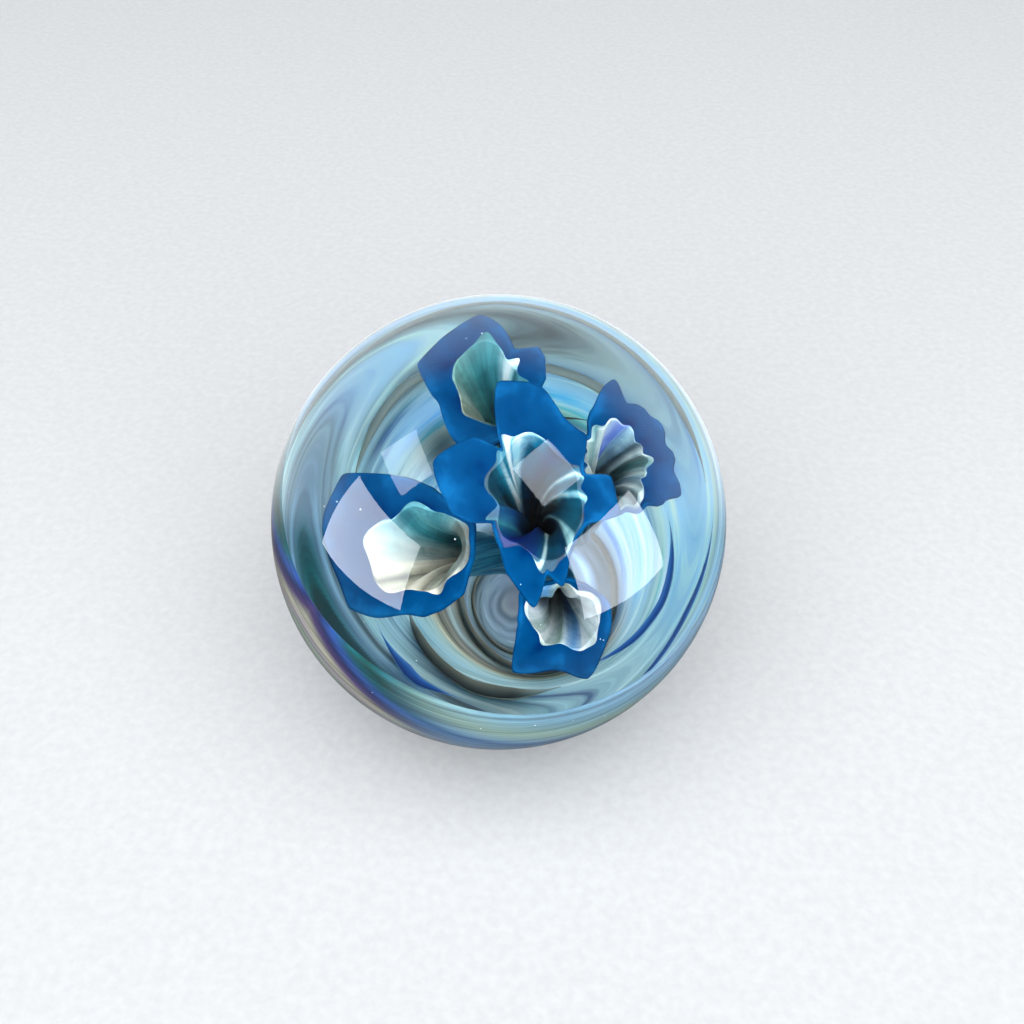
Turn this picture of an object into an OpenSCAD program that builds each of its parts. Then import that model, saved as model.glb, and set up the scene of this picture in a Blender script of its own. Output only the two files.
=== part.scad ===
// Glass marble: a clear ball over a pulled swirl backing, with a bouquet of frilled trumpets inside.
// The origin is the ball's centre, +Z is up and the flower's face leans towards -Y.

/* [Ball] */
// Diameter of the polished ball
ball_d = 50.8; // [48:0.2:76]

/* [Display] */
// Lean of the flower's face from straight up, towards the viewer
face_tilt = 33; // [0:1:60]
// Turn of the face about the vertical, towards the viewer's left
face_turn = 4; // [-45:1:45]

/* [Backing] */
// Clear glass left over the outside of the backing
cover_t = 0.6; // [0.4:0.1:1.5]
// Wall of the coloured backing
backing_t = 1.4; // [0.8:0.1:2.4]
// Half angle of the cap that the backing covers, from its own pole
backing_span = 107; // [95:1:115]
// Lean of the backing's rim
rim_lean = 13; // [0:1:16]
// Side on which the rim climbs highest, anticlockwise from the right
rim_side = 225; // [0:5:355]

/* [Swirl] */
// Turn of the swirl about the backing's pole
swirl_turn = 0; // [-30:5:30]
// Share of the drift that carries the wider loops off the pole
swirl_drift = 1; // [0.7:0.05:1]
// Width of the widest pulled thread
thread_w = 0.5; // [0.3:0.05:0.6]
// Thickness of a pulled thread
thread_t = 0.4; // [0.2:0.05:0.7]
// Clear glass between the threads and the backing
thread_gap = 0.1; // [0.05:0.05:0.3]

/* [Bouquet] */
// Place of the bouquet's axis to the right of the face's axis
bouquet_right = 2.5; // [0:0.25:3]
// Place of the bouquet's axis above the face's axis
bouquet_up = 1; // [-1:0.25:2]
// Depth of the stems' feet below the ball's centre
foot_depth = 12; // [11:0.25:13]
// Circle through the feet of the outer stems
stem_ring_d = 5.2; // [5:0.2:7]
// Outside diameter of each stem at its foot
stem_d = 1.8; // [1.6:0.1:2]

/* [Trumpets] */
// Thickness of the trumpets' glass
sheet_t = 0.6; // [0.4:0.05:0.7]
// Share of a trumpet's flare that opens right at its mouth
bell = 0.5; // [0.4:0.05:0.6]
// Depth of the flutes down a trumpet's wall
flute_depth = 0.3; // [0:0.05:0.4]
// Height of the outer mouths above the ball's centre
outer_height = 4.5; // [4:0.25:5]
// Outward lean of the outer mouths
outer_lean = 22; // [18:1:26]
// Height of the centre mouth above the ball's centre
centre_height = 9.5; // [9:0.25:10.5]
// Lean of the centre mouth
centre_lean = 8; // [4:1:12]
// Width of a lip across a middling petal
lip_w = 3; // [2.8:0.05:3.1]
// Hollow of the lip's edge between two points
scallop = 0.3; // [0:0.05:0.4]

/* [Mouth places] */
// Distance of the top mouth from the bouquet's axis
top_out = 9.8; // [9.6:0.05:10]
// Azimuth of the top mouth, anticlockwise from the right
top_side = 113; // [111:1:115]
// Distance of the right mouth from the bouquet's axis
right_out = 7.5; // [7.4:0.05:7.7]
// Azimuth of the right mouth
right_side = 24; // [22:1:26]
// Distance of the left mouth from the bouquet's axis
left_out = 9.9; // [9.7:0.05:10.1]
// Azimuth of the left mouth
left_side = 208; // [206:1:210]
// Distance of the bottom mouth from the bouquet's axis
bottom_out = 10.3; // [10.1:0.05:10.5]
// Azimuth of the bottom mouth
bottom_side = 290; // [288:1:292]
// Distance of the centre mouth from the bouquet's axis
centre_out = 1.4; // [1.2:0.05:1.6]
// Azimuth of the centre mouth
centre_side = 318; // [312:1:324]

/* [Mouths] */
// Long half-axis of the top mouth
top_long = 3.9; // [3.7:0.05:4.1]
// Short half-axis of the top mouth
top_short = 2.4; // [2.2:0.05:2.6]
// Azimuth of the top mouth's long axis
top_turn = 109; // [105:1:113]
// Long half-axis of the right mouth
right_long = 3.6; // [3.4:0.05:3.8]
// Short half-axis of the right mouth
right_short = 2.5; // [2.3:0.05:2.6]
// Azimuth of the right mouth's long axis
right_turn = 93; // [89:1:97]
// Long half-axis of the left mouth
left_long = 4.3; // [4.1:0.05:4.5]
// Short half-axis of the left mouth
left_short = 3.3; // [3.1:0.05:3.5]
// Azimuth of the left mouth's long axis
left_turn = 12; // [8:1:16]
// Long half-axis of the bottom mouth
bottom_long = 3.1; // [2.9:0.05:3.3]
// Short half-axis of the bottom mouth
bottom_short = 2.4; // [2.2:0.05:2.6]
// Azimuth of the bottom mouth's long axis
bottom_turn = 155; // [151:1:159]
// Long half-axis of the centre mouth
centre_long = 5.1; // [4.9:0.05:5.3]
// Short half-axis of the centre mouth
centre_short = 3.6; // [3.4:0.05:3.7]
// Azimuth of the centre mouth's long axis
centre_turn = 109; // [105:1:113]

/* [Hidden] */
$fn = 96;

CLEAR = [0.90, 0.95, 1.00, 0.18];
BACKING_BLUE = [0.56, 0.69, 0.80];
THREAD_GREY = [0.20, 0.23, 0.23];
THREAD_BLUE = [0.20, 0.36, 0.72];
PEARL = [0.72, 0.80, 0.77];
LIP_BLUE = [0.03, 0.37, 0.69];

ball_r = ball_d / 2;
backing_r = ball_r - cover_t;
backing_in = backing_r - backing_t;
thread_top = backing_in - thread_gap;

// Drift of a loop's middle off the backing's pole, in degrees, as [loop's half angle, drift]
DRIFT_RIGHT = [[0, 0], [7, 1.1], [11, 2.9], [14.5, 1.8], [21, 0.2], [28, -0.7], [40, -2]];
DRIFT_UP = [[0, 0], [7, 0.2], [11, 2], [14.5, 4.9], [21, 10.4], [28, 14.6], [40, 13.5]];
// Pulled threads: [share of the widest width, path as [angle round the loop, loop's half angle]]
DARK_THREADS = [
    [0.4, [[100, 7.1], [175, 7.7], [220, 6.8], [256, 7.9], [430, 7.6]]],
    [0.7, [[140, 11], [240, 10.8], [282, 13], [330, 13], [470, 11.4]]],
    [0.4, [[56, 20.9], [75, 19.8], [100, 19.2]]],
    [0.6, [[16, 22.6], [60, 23.2], [100, 23.6], [132, 25.2], [175, 24.8]]],
    [0.9, [[210, 19], [240, 22.4], [258, 24.3], [272, 24], [288, 23]]]
];
BLUE_THREADS = [
    [0.8, [[222, 25.6], [234, 26.8], [245, 27.8], [258, 27.2]]],
    [0.3, [[-64, 20.4], [-41, 21.7], [-24, 22], [10, 21.6]]]
];
// Degrees of a loop between two sections of a thread, and the step that finds its direction
THREAD_STEP = 7;
TANGENT_STEP = 0.1;
// Degrees over which a thread draws out to a point, and the share of its width left at the very end
THREAD_TAPER = 25;
THREAD_TIP = 0.2;

// Rows of facets down a throat and across a lip, and the widest facet round a mouth, in degrees
THROAT_ROWS = 5;
LIP_ROWS = 2;
COLUMN_STEP = 16;
// Flutes round a throat, and how sharply the bell opens at the mouth
FLUTES = 5;
// The flutes grow from the foot, are deepest past halfway up and still ripple the mouth
FLUTE_ARC = 150;
BELL_POWER = 6;
// Tilt of a trumpet's wall from its axis at the foot
FOOT_FLARE = 10;
// Share of a trumpet's rise over which its centre line holds the direction of each end
STRAIGHT = 1 / 3;
// Width of a middling petal that the frills below are written for
FRILL_W = 3;
// Narrowest lip, and the angle between two corners at which the hollow between them is full
LIP_MIN = 0.3;
FULL_SCALLOP = 45;

// Frills: the corners of each lip, as [azimuth, width of the lip there, rise of its edge there]
TOP_FRILL = [
    [12, 2.2, -0.4], [38, 2.7, -0.9], [48, 2.9, -1.2], [60, 1.2, 0.2], [101, 2.8, -0.8], [133, 2.5, 0.1],
    [158, 3.4, -1.2], [192, 2.1, 0.3], [215, 1.9, 0.5], [263, 3.1, -0.3], [304, 0.7, 0.4], [335, 1.8, 0.4]
];
RIGHT_FRILL = [
    [20, 2.4, 0.4], [54, 3.1, -0.8], [83, 2.2, -0.2], [91, 3.9, -1.4], [107, 2.6, -0.4], [130, 1.0, 0.3],
    [195, 0.6, 0.5], [245, 1.0, 0.4], [291, 0.6, 0.3], [315, 1.3, 0.5], [348, 3.6, -1.2]
];
LEFT_FRILL = [
    [23, 1.2, 0.4], [75, 1.9, 0.5], [107, 2.8, 0.3], [138, 5.8, -1.4], [163, 4.3, -0.2], [190, 3.3, 0.5],
    [218, 3.4, -0.6], [238, 2.6, 0.2], [275, 2.2, -0.3], [319, 2.0, 0.3], [352, 0.9, 0.5]
];
BOTTOM_FRILL = [
    [15, 1.3, 0.3], [60, 1.2, 0.4], [121, 0.8, 0.4], [154, 1.0, 0.3], [193, 1.1, 0.2], [232, 3.7, -1.0],
    [257, 2.5, 0.3], [295, 3.0, -0.7], [324, 1.6, 0.2]
];
CENTRE_FRILL = [
    [12, 3.2, -0.4], [22, 3.1, -0.6], [30, 0.9, 0.2], [40, 1.0, 0.3], [56, 3.0, -0.5], [76, 3.1, 0.1],
    [90, 4.5, -0.4], [112, 5.3, -0.9], [121, 2.6, -0.2], [129, 0.5, 0.3], [139, 3.3, -0.3], [163, 4.9, -0.9],
    [194, 4.0, -0.4], [204, 2.6, 0.0], [212, 0.6, 0.3], [236, 0.9, 0.3], [251, 2.6, -0.2], [273, 4.5, -0.8],
    [281, 1.1, 0.2], [290, 2.5, -0.5], [303, 0.6, 0.3], [338, 0.7, 0.3], [354, 3.4, -0.5]
];

// Trumpets: [stem's distance from the bouquet's axis, mouth's distance, azimuth, mouth's height, lean,
// long half-axis, short half-axis, azimuth of the long axis, frill]
stem_out = stem_ring_d / 2;
TOP = [
    stem_out, top_out, top_side, outer_height, outer_lean,
    top_long, top_short, top_turn, TOP_FRILL
];
RIGHT = [
    stem_out, right_out, right_side, outer_height, outer_lean,
    right_long, right_short, right_turn, RIGHT_FRILL
];
LEFT = [
    stem_out, left_out, left_side, outer_height, outer_lean,
    left_long, left_short, left_turn, LEFT_FRILL
];
BOTTOM = [
    stem_out, bottom_out, bottom_side, outer_height, outer_lean,
    bottom_long, bottom_short, bottom_turn, BOTTOM_FRILL
];
CENTRE = [
    0, centre_out, centre_side, centre_height, centre_lean,
    centre_long, centre_short, centre_turn, CENTRE_FRILL
];
TRUMPETS = [TOP, RIGHT, LEFT, BOTTOM, CENTRE];

function mix(a, b, t) = a + (b - a) * t;
function bezier(a, b, c, d, t) =
    pow(1 - t, 3) * a + 3 * pow(1 - t, 2) * t * b + 3 * (1 - t) * t * t * c + pow(t, 3) * d;
function unit(v) = v / norm(v);
// v turned by lean about the line that stands square to azimuth az, so that +Z leans towards az
function leaned(v, az, lean) =
    let (along = v.x * cos(az) + v.y * sin(az), side = -v.x * sin(az) + v.y * cos(az))
    let (out = along * cos(lean) + v.z * sin(lean), up = -along * sin(lean) + v.z * cos(lean))
    [out * cos(az) - side * sin(az), out * sin(az) + side * cos(az), up];

// Columns round a mouth: each side of the frill, cut into facets, as [azimuth, lip width, rise]
function frill_columns(frill) = [
    for (i = [0 : len(frill) - 1])
    let (a = frill[i], b = frill[(i + 1) % len(frill)])
    let (gap = (b[0] - a[0] + 360) % 360, n = ceil(gap / COLUMN_STEP))
    for (k = [0 : n - 1])
    let (t = k / n, dip = scallop * gap / FULL_SCALLOP * sin(180 * t), grow = lip_w / FRILL_W)
    [a[0] + gap * t, max(grow * mix(a[1], b[1], t) - dip, LIP_MIN), grow * mix(a[2], b[2], t)]
];

// Radius of a trumpet's oval mouth at azimuth az
function oval_r(t, az) =
    t[5] * t[6] / sqrt(pow(t[6] * cos(az - t[7]), 2) + pow(t[5] * sin(az - t[7]), 2));
// Inner radius of the throat at azimuth az, s from 0 at the foot to 1 at the mouth
function throat_r(t, az, s) =
    mix(stem_d / 2 - sheet_t, oval_r(t, az), (1 - bell) * s + bell * pow(s, BELL_POWER))
    - flute_depth * sin(FLUTE_ARC * s) * sin(FLUTES * az + 180 * s);
// Centre line of a trumpet: it rises straight from its foot and reaches its mouth along the mouth's axis
function trumpet_axis(t, s) =
    let (hold = (t[3] + foot_depth) * STRAIGHT)
    let (out = bezier(t[0], t[0], t[1] - hold * sin(t[4]), t[1], s))
    let (up = bezier(-foot_depth, -foot_depth + hold, t[3] - hold * cos(t[4]), t[3], s))
    [bouquet_right + out * cos(t[2]), bouquet_up + out * sin(t[2]), up];
// A point on the sheet: column c, row s (0 to 1 down the throat, 1 to 2 across the lip), depth 0 face, 1 back
function sheet_point(t, c, s, depth) =
    let (q = min(s, 1), w = max(s - 1, 0), az = c[0], lean = t[4] * q)
    let (slope = FOOT_FLARE * q + (90 - FOOT_FLARE) * pow(q, BELL_POWER))
    let (r = throat_r(t, az, q) + c[1] * w, thick = depth * sheet_t)
    let (in_plane = r + thick * cos(slope), z = c[2] * w * w - thick * sin(slope))
    trumpet_axis(t, q) + leaned([in_plane * cos(az), in_plane * sin(az), q == 0 ? 0 : z], t[2], lean);

// A closed sheet between two rows: a ring of facets on its face, one on its back and a band at each end
module sheet(t, rows) {
    cols = frill_columns(t[8]);
    n = len(cols);
    m = len(rows);
    points = [for (depth = [0, 1]) for (s = rows) for (c = cols) sheet_point(t, c, s, depth)];
    at = function (depth, i, j) (depth * m + i) * n + j % n;
    faces = [
        for (j = [0 : n - 1]) each [
            for (i = [0 : m - 2]) each [
                [at(0, i, j), at(0, i, j + 1), at(0, i + 1, j + 1)],
                [at(0, i, j), at(0, i + 1, j + 1), at(0, i + 1, j)],
                [at(1, i, j), at(1, i + 1, j + 1), at(1, i, j + 1)],
                [at(1, i, j), at(1, i + 1, j), at(1, i + 1, j + 1)]
            ],
            [at(0, 0, j), at(1, 0, j + 1), at(0, 0, j + 1)],
            [at(0, 0, j), at(1, 0, j), at(1, 0, j + 1)],
            [at(0, m - 1, j), at(0, m - 1, j + 1), at(1, m - 1, j + 1)],
            [at(0, m - 1, j), at(1, m - 1, j + 1), at(1, m - 1, j)]
        ]
    ];
    polyhedron(points, faces);
}

throat_rows = [for (i = [0 : THROAT_ROWS]) i / THROAT_ROWS];
lip_rows = [for (i = [0 : LIP_ROWS]) 1 + i / LIP_ROWS];
sheet_rows = [each throat_rows, for (i = [1 : LIP_ROWS]) 1 + i / LIP_ROWS];

// Places the flower and its backing, which are built with their face straight up
module faced() rotate([face_tilt, 0, -face_turn]) children();

module throat(t) color(PEARL) faced() sheet(t, throat_rows);
module lip(t) color(LIP_BLUE) faced() sheet(t, lip_rows);

module backing_shape() {
    rim_z = -backing_in * cos(backing_span);
    faced() rotate([0, 0, rim_side]) rotate([0, -rim_lean, 0]) difference() {
        sphere(r = backing_r);
        sphere(r = backing_in);
        translate([0, 0, rim_z]) cylinder(r = ball_d, h = ball_d);
    }
}

// Direction, from the ball's centre, of a thread's middle at angle t round its loop
function swirl_point(path, t) =
    let (loop = lookup(t, path))
    let (right = swirl_drift * lookup(loop, DRIFT_RIGHT) + loop * cos(t))
    let (up = swirl_drift * lookup(loop, DRIFT_UP) + loop * sin(t))
    let (polar = norm([right, up]), az = atan2(up, right) + swirl_turn)
    [sin(polar) * cos(az), sin(polar) * sin(az), -cos(polar)];
// Half width of a thread at angle t, drawn out towards both ends
function thread_half(thread, t) =
    let (path = thread[1], left = min(t - path[0][0], path[len(path) - 1][0] - t))
    thread_w / 2 * thread[0] * mix(THREAD_TIP, 1, min(left / THREAD_TAPER, 1));
// Corner of a thread's section: side -1 or 1 across it, level 0 inner or 1 outer
function thread_point(thread, t, side, level) =
    let (p = swirl_point(thread[1], t))
    let (along = swirl_point(thread[1], t + TANGENT_STEP) - swirl_point(thread[1], t - TANGENT_STEP))
    let (r = thread_top - thread_t * (1 - level))
    r * unit(p + side * thread_half(thread, t) / r * unit(cross(p, along)));

module thread(thread) {
    path = thread[1];
    start = path[0][0];
    sweep = path[len(path) - 1][0] - start;
    steps = ceil(sweep / THREAD_STEP);
    ring = [[-1, 0], [1, 0], [1, 1], [-1, 1]];
    points = [
        for (i = [0 : steps]) for (c = ring) thread_point(thread, start + sweep * i / steps, c[0], c[1])
    ];
    last = 4 * steps;
    faces = [
        for (i = [0 : steps - 1]) for (j = [0 : 3])
        let (a = 4 * i + j, b = 4 * i + (j + 1) % 4)
        each [[a, b + 4, b], [a, a + 4, b + 4]],
        [0, 2, 3], [0, 1, 2], [last, last + 2, last + 1], [last, last + 3, last + 2]
    ];
    faced() polyhedron(points, faces);
}

module clear_body() color(CLEAR) difference() {
    sphere(r = ball_r);
    backing_shape();
    for (t = [each DARK_THREADS, each BLUE_THREADS]) thread(t);
    for (t = TRUMPETS) faced() sheet(t, sheet_rows);
}
module swirl_backing() color(BACKING_BLUE) backing_shape();
module dark_threads() color(THREAD_GREY) for (t = DARK_THREADS) thread(t);
module blue_thread() color(THREAD_BLUE) for (t = BLUE_THREADS) thread(t);

clear_body();
swirl_backing();
dark_threads();
blue_thread();
throat(TOP);  // top_throat
lip(TOP);  // top_lip
throat(RIGHT);  // right_throat
lip(RIGHT);  // right_lip
throat(LEFT);  // left_throat
lip(LEFT);  // left_lip
throat(BOTTOM);  // bottom_throat
lip(BOTTOM);  // bottom_lip
throat(CENTRE);  // centre_throat
lip(CENTRE);  // centre_lip
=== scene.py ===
"""Dresses a glass marble: a clear ball over a pulled swirl, with frilled trumpet flowers sealed inside."""

import logging
import math
from dataclasses import dataclass, field
from enum import Enum
from itertools import combinations

import bpy
import numpy as np
from bpy.types import Material, Mesh, Node, NodeSocket, NodeTree, Object
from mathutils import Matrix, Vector


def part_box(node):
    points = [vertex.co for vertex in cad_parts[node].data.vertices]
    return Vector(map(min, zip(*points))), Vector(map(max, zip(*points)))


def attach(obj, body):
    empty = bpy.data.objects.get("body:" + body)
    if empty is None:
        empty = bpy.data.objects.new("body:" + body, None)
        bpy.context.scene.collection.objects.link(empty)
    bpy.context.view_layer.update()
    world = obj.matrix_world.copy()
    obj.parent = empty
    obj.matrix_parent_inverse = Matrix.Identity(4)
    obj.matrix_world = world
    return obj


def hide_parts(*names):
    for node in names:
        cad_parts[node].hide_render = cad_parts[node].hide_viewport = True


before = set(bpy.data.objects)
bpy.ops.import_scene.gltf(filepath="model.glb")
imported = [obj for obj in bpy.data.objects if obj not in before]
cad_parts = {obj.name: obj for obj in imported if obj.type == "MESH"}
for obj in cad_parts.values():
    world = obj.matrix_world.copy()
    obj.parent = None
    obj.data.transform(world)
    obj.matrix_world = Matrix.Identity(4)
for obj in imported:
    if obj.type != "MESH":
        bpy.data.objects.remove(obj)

LOG = logging.getLogger("marble")

# Metres in a millimetre
MM = 0.001

# The solids' sizes, in mm and degrees
BALL_R = 25.4
BACKING_OUT = 24.8
BACKING_IN = 23.4
THREAD_TOP = 23.3
THREAD_T = 0.4
THREAD_W = 0.5
FACE_TILT = 33.0
FACE_TURN = 4.0
SHEET_T = 0.6
STEM_D = 1.8
FOOT_DEPTH = 12.0
FLUTES = 5
FLUTE_DEPTH = 0.3
BOUQUET = (2.5, 1.0)
# The power of the throats' flare, and how much of a sine wave flutes and pleats deepen and fade by
FLARE = 6
FLUTE_RUN = 150.0
PLEAT_RUN = 140.0

# Settings that several nodes share. A MapRange node takes a value, the range that it comes from and the range
# that it goes to. A Mix node takes the share of the second colour, the first colour and the second.
SMOOTH = {"interpolation_type": "SMOOTHSTEP"}
BLEND = {"data_type": "RGBA"}
OVERLAY = {"data_type": "RGBA", "blend_type": "OVERLAY"}
MULTIPLY = {"data_type": "RGBA", "blend_type": "MULTIPLY"}
TIMES = {"operation": "MULTIPLY"}
TIMES_PLUS = {"operation": "MULTIPLY_ADD"}
LARGER = {"operation": "MAXIMUM"}
DOT = {"operation": "DOT_PRODUCT"}

Array = np.ndarray
Colour = tuple[float, float, float, float]
Stops = tuple[tuple[float, str], ...]


class Slot(str, Enum):
    """The record's material slots."""

    CLEAR = "clear_glass"
    SWIRL = "swirl_glass"
    GREY = "grey_thread_glass"
    BLUE = "blue_thread_glass"
    PEARL = "pearl_glass"
    LIP = "blue_lip_glass"


def linear(code: str) -> Colour:
    """Turns an sRGB hex code into linear light.

    Args:
        code: six hex digits after a hash.

    Returns:
        Linear red, green and blue, with full alpha.
    """
    parts = [int(code[i : i + 2], 16) / 255 for i in (1, 3, 5)]
    red, green, blue = [c / 12.92 if c <= 0.04045 else ((c + 0.055) / 1.055) ** 2.4 for c in parts]
    return red, green, blue, 1.0


def per_mm(count: float) -> float:
    """Noise scale with this many patches to a millimetre, for coordinates in metres."""
    return count / MM


def sind(angle: Array | float) -> Array | float:
    """Sine of an angle in degrees."""
    return np.sin(np.radians(angle))


def cosd(angle: Array | float) -> Array | float:
    """Cosine of an angle in degrees."""
    return np.cos(np.radians(angle))


def ripple(azimuth: Array, *waves: tuple[float, float, float]) -> Array:
    """Adds up sine waves round a ring, each one (height, how many, phase in degrees)."""
    return sum(height * sind(count * azimuth + phase) for height, count, phase in waves)


def spun(azimuth: Array | float, radius: Array | float, level: Array | float) -> Array:
    """Points at an azimuth in degrees, a radius and a level, one for each place of their common shape."""
    return np.stack(np.broadcast_arrays(radius * cosd(azimuth), radius * sind(azimuth), level), -1)


def outward(points: Array, faces: Array) -> Array:
    """For each face, given by three points' numbers: above 0 if it looks away from the origin."""
    a, b, c = points[faces.T]
    return np.einsum("ij,ij->i", a, np.cross(b, c))


def turned(points: Array, axis: int, angle: float) -> Array:
    """Turns points about one axis.

    Args:
        points: array whose last axis is x, y and z.
        axis: 0 for X, 1 for Y, 2 for Z.
        angle: degrees, anticlockwise.

    Returns:
        The turned points.
    """
    a, b = (axis + 1) % 3, (axis + 2) % 3
    out = points.copy()
    out[..., a] = points[..., a] * cosd(angle) - points[..., b] * sind(angle)
    out[..., b] = points[..., a] * sind(angle) + points[..., b] * cosd(angle)
    return out


def faced(points: Array) -> Array:
    """Carries points from the flower's own frame, in mm, into the shared frame, in metres.

    Args:
        points: array whose last axis is right, up and out of the flower's face.

    Returns:
        The same points in the shared frame.
    """
    return turned(turned(points, 0, FACE_TILT), 2, -FACE_TURN) * MM


def bezier(a: float, b: float, c: float, d: float, t: Array) -> Array:
    """Point at t on a cubic through a and d, drawn towards b and c."""
    return (1 - t) ** 3 * a + 3 * (1 - t) ** 2 * t * b + 3 * (1 - t) * t * t * c + t**3 * d


def smoothstep(low: float, high: float, x: Array) -> Array:
    """Eases from 0 at low to 1 at high."""
    t = np.clip((x - low) / (high - low), 0, 1)
    return t * t * (3 - 2 * t)


def join(node: Node, links: dict | tuple) -> None:
    """Fills a node's inputs.

    Args:
        node: the node.
        links: sockets to join or values to set, by input name or in the order of the node's shown inputs.
    """
    if isinstance(links, tuple):
        pairs = zip([socket for socket in node.inputs if socket.enabled], links)
    else:
        pairs = [(node.inputs[name], value) for name, value in links.items()]
    for socket, value in pairs:
        if isinstance(value, NodeSocket):
            node.id_data.links.new(value, socket)
        else:
            socket.default_value = value


def add(tree: NodeTree, kind: str, settings: dict, links: dict | tuple, out: str = "") -> NodeSocket:
    """Adds a node.

    Args:
        tree: node tree that it goes into.
        kind: Blender's name for the node, without the ShaderNode in front.
        settings: the node's own settings; "stops" fills a colour ramp.
        links: what its inputs are filled with, as join takes it.
        out: name of the output that is wanted; the first shown one if empty.

    Returns:
        The socket of that output.
    """
    made = tree.nodes.new("ShaderNode" + kind)
    for key, value in settings.items():
        if key == "stops":
            points = made.color_ramp.elements
            while len(points) < len(value):
                points.new(0.5)
            for point, (place, colour) in zip(points, value):
                point.position = place
                point.color = linear(colour)
        else:
            setattr(made, key, value)
    join(made, links)
    return made.outputs[out] if out else next(socket for socket in made.outputs if socket.enabled)


def opened(name: str) -> tuple[Material, NodeTree, Node]:
    """Starts a material.

    Args:
        name: what the material is and how its surface was made.

    Returns:
        The material, its node tree and its shader.
    """
    material = bpy.data.materials.new(name)
    material.use_nodes = True
    return material, material.node_tree, material.node_tree.nodes["Principled BSDF"]


def stood(name: str, mesh: Mesh, material: Material) -> Object:
    """Puts a mesh into the scene, smooth-shaded, and reports it.

    Args:
        name: the object's name.
        mesh: its shape.
        material: what it is made of.

    Returns:
        The object.
    """
    mesh.materials.append(material)
    mesh.shade_smooth()
    piece = bpy.data.objects.new(name, mesh)
    bpy.context.scene.collection.objects.link(piece)
    LOG.info("%s: %d points, %d faces", name, len(mesh.vertices), len(mesh.polygons))
    return piece


def placed(piece: Object, slot: Slot, *nodes: str) -> None:
    """Hangs a piece of the marble on its one body, and hides the solids that it stands for.

    Args:
        piece: the piece.
        slot: its finish in the record; not used.
        nodes: the solids that it stands for, if any.
    """
    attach(piece, "root")
    if nodes:
        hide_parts(*nodes)


@dataclass
class Strip:
    """A band of quads that runs right round.

    Attributes:
        points: rows of points in the shared frame, each a closed ring.
        run: the v coordinate of each row.
        values: by name, what a finish reads at each point.
        cap_first: whether a flat face closes the first row.
        cap_last: whether a flat face closes the last row.
    """

    points: Array
    run: Array
    values: dict[str, Array] | None = None
    cap_first: bool = False
    cap_last: bool = False


def strip_mesh(name: str, strips: list[Strip], material: Material) -> Object:
    """Builds one object from strips, with its faces turned outwards.

    Args:
        name: the object's name.
        strips: its bands.
        material: what it is made of.

    Returns:
        The object, with a UV map that runs round in u and along the rows in v.
    """
    verts, faces, uvs, start = [], [], [], 0
    values: dict[str, list[Array]] = {}
    for strip in strips:
        rows, cols = strip.points.shape[:2]
        i, j = np.meshgrid(np.arange(rows - 1), np.arange(cols), indexing="ij")
        i, j, k = i.ravel(), j.ravel(), (j.ravel() + 1) % cols
        quads = np.stack([i * cols + j, i * cols + k, (i + 1) * cols + k, (i + 1) * cols + j], -1) + start
        v = strip.run
        uv = [np.stack(c, -1) for c in ((j, v[i]), (j + 1, v[i]), (j + 1, v[i + 1]), (j, v[i + 1]))]
        uvs.append((np.stack(uv, 1) / [cols, 1]).reshape(-1, 2))
        faces += quads.tolist()
        for wanted, row in ((strip.cap_first, 0), (strip.cap_last, rows - 1)):
            if wanted:
                ring = np.arange(cols) + start + row * cols
                faces.append((ring[::-1] if row == 0 else ring).tolist())
                uvs.append(np.stack([np.arange(cols) / cols, np.full(cols, v[row])], -1))
        verts.append(strip.points.reshape(-1, 3))
        for key, value in (strip.values or {}).items():
            values.setdefault(key, []).append(value.reshape(rows * cols, -1))
        start += rows * cols
    points = np.concatenate(verts)
    mesh = bpy.data.meshes.new(name)
    mesh.from_pydata(points.tolist(), [], faces)
    mesh.uv_layers.new(name="run").data.foreach_set("uv", np.concatenate(uvs).ravel())
    for key, parts in values.items():
        whole = np.concatenate(parts)
        kind, holds = ("FLOAT", "value") if whole.shape[1] == 1 else ("FLOAT_VECTOR", "vector")
        mesh.attributes.new(key, kind, "POINT").data.foreach_set(holds, whole.astype(np.float32).ravel())
    if outward(points, np.array([face[:3] for face in faces])).sum() < 0:
        mesh.flip_normals()
    return stood(name, mesh, material)


@dataclass(frozen=True)
class ClearGlass:
    """Fire-polished clear glass: water-bright, with the faintest drag marks that soften a highlight.

    Attributes:
        ior: its refractive index.
    """

    ior: float = 1.47

    def make(self) -> Material:
        """Builds the material.

        Returns:
            Clear soda glass.
        """
        material, tree, shader = opened("clear soda glass, fire polished")
        place = add(tree, "TexCoord", {}, {}, "Object")
        # A few patches are a hair less bright, where the shaping block dragged
        drag = add(tree, "TexNoise", {}, {"Vector": place, "Scale": per_mm(0.18), "Detail": 2.0})
        haze = add(tree, "MapRange", {}, (drag, 0.62, 0.8, 0.0, 0.012))
        join(shader, {"Base Color": (1, 1, 1, 1), "Roughness": haze})
        join(shader, {"Transmission Weight": 1.0, "IOR": self.ior})
        return material


@dataclass(frozen=True)
class AirSeed:
    """A gas seed left in the glass, its bright wall a painted highlight.

    Attributes:
        middle: painted highlight where it faces the eye.
        rim: colour of the painted highlight where the wall turns away.
    """

    middle: str = "#ffffff"
    rim: str = "#9fb7c9"

    def make(self) -> Material:
        """Builds the material.

        Returns:
            The seed's wall.
        """
        material, tree, shader = opened("gas seed, its wall catching the light")
        # Painted highlight: white where the seed faces the eye, bluish where its wall turns away
        edge = add(tree, "LayerWeight", {}, {"Blend": 0.35}, "Facing")
        painted_highlight = add(tree, "ValToRGB", {"stops": ((0.0, self.middle), (1.0, self.rim))}, (edge,))
        join(shader, {"Base Color": painted_highlight, "Roughness": 0.12})
        return material


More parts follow.
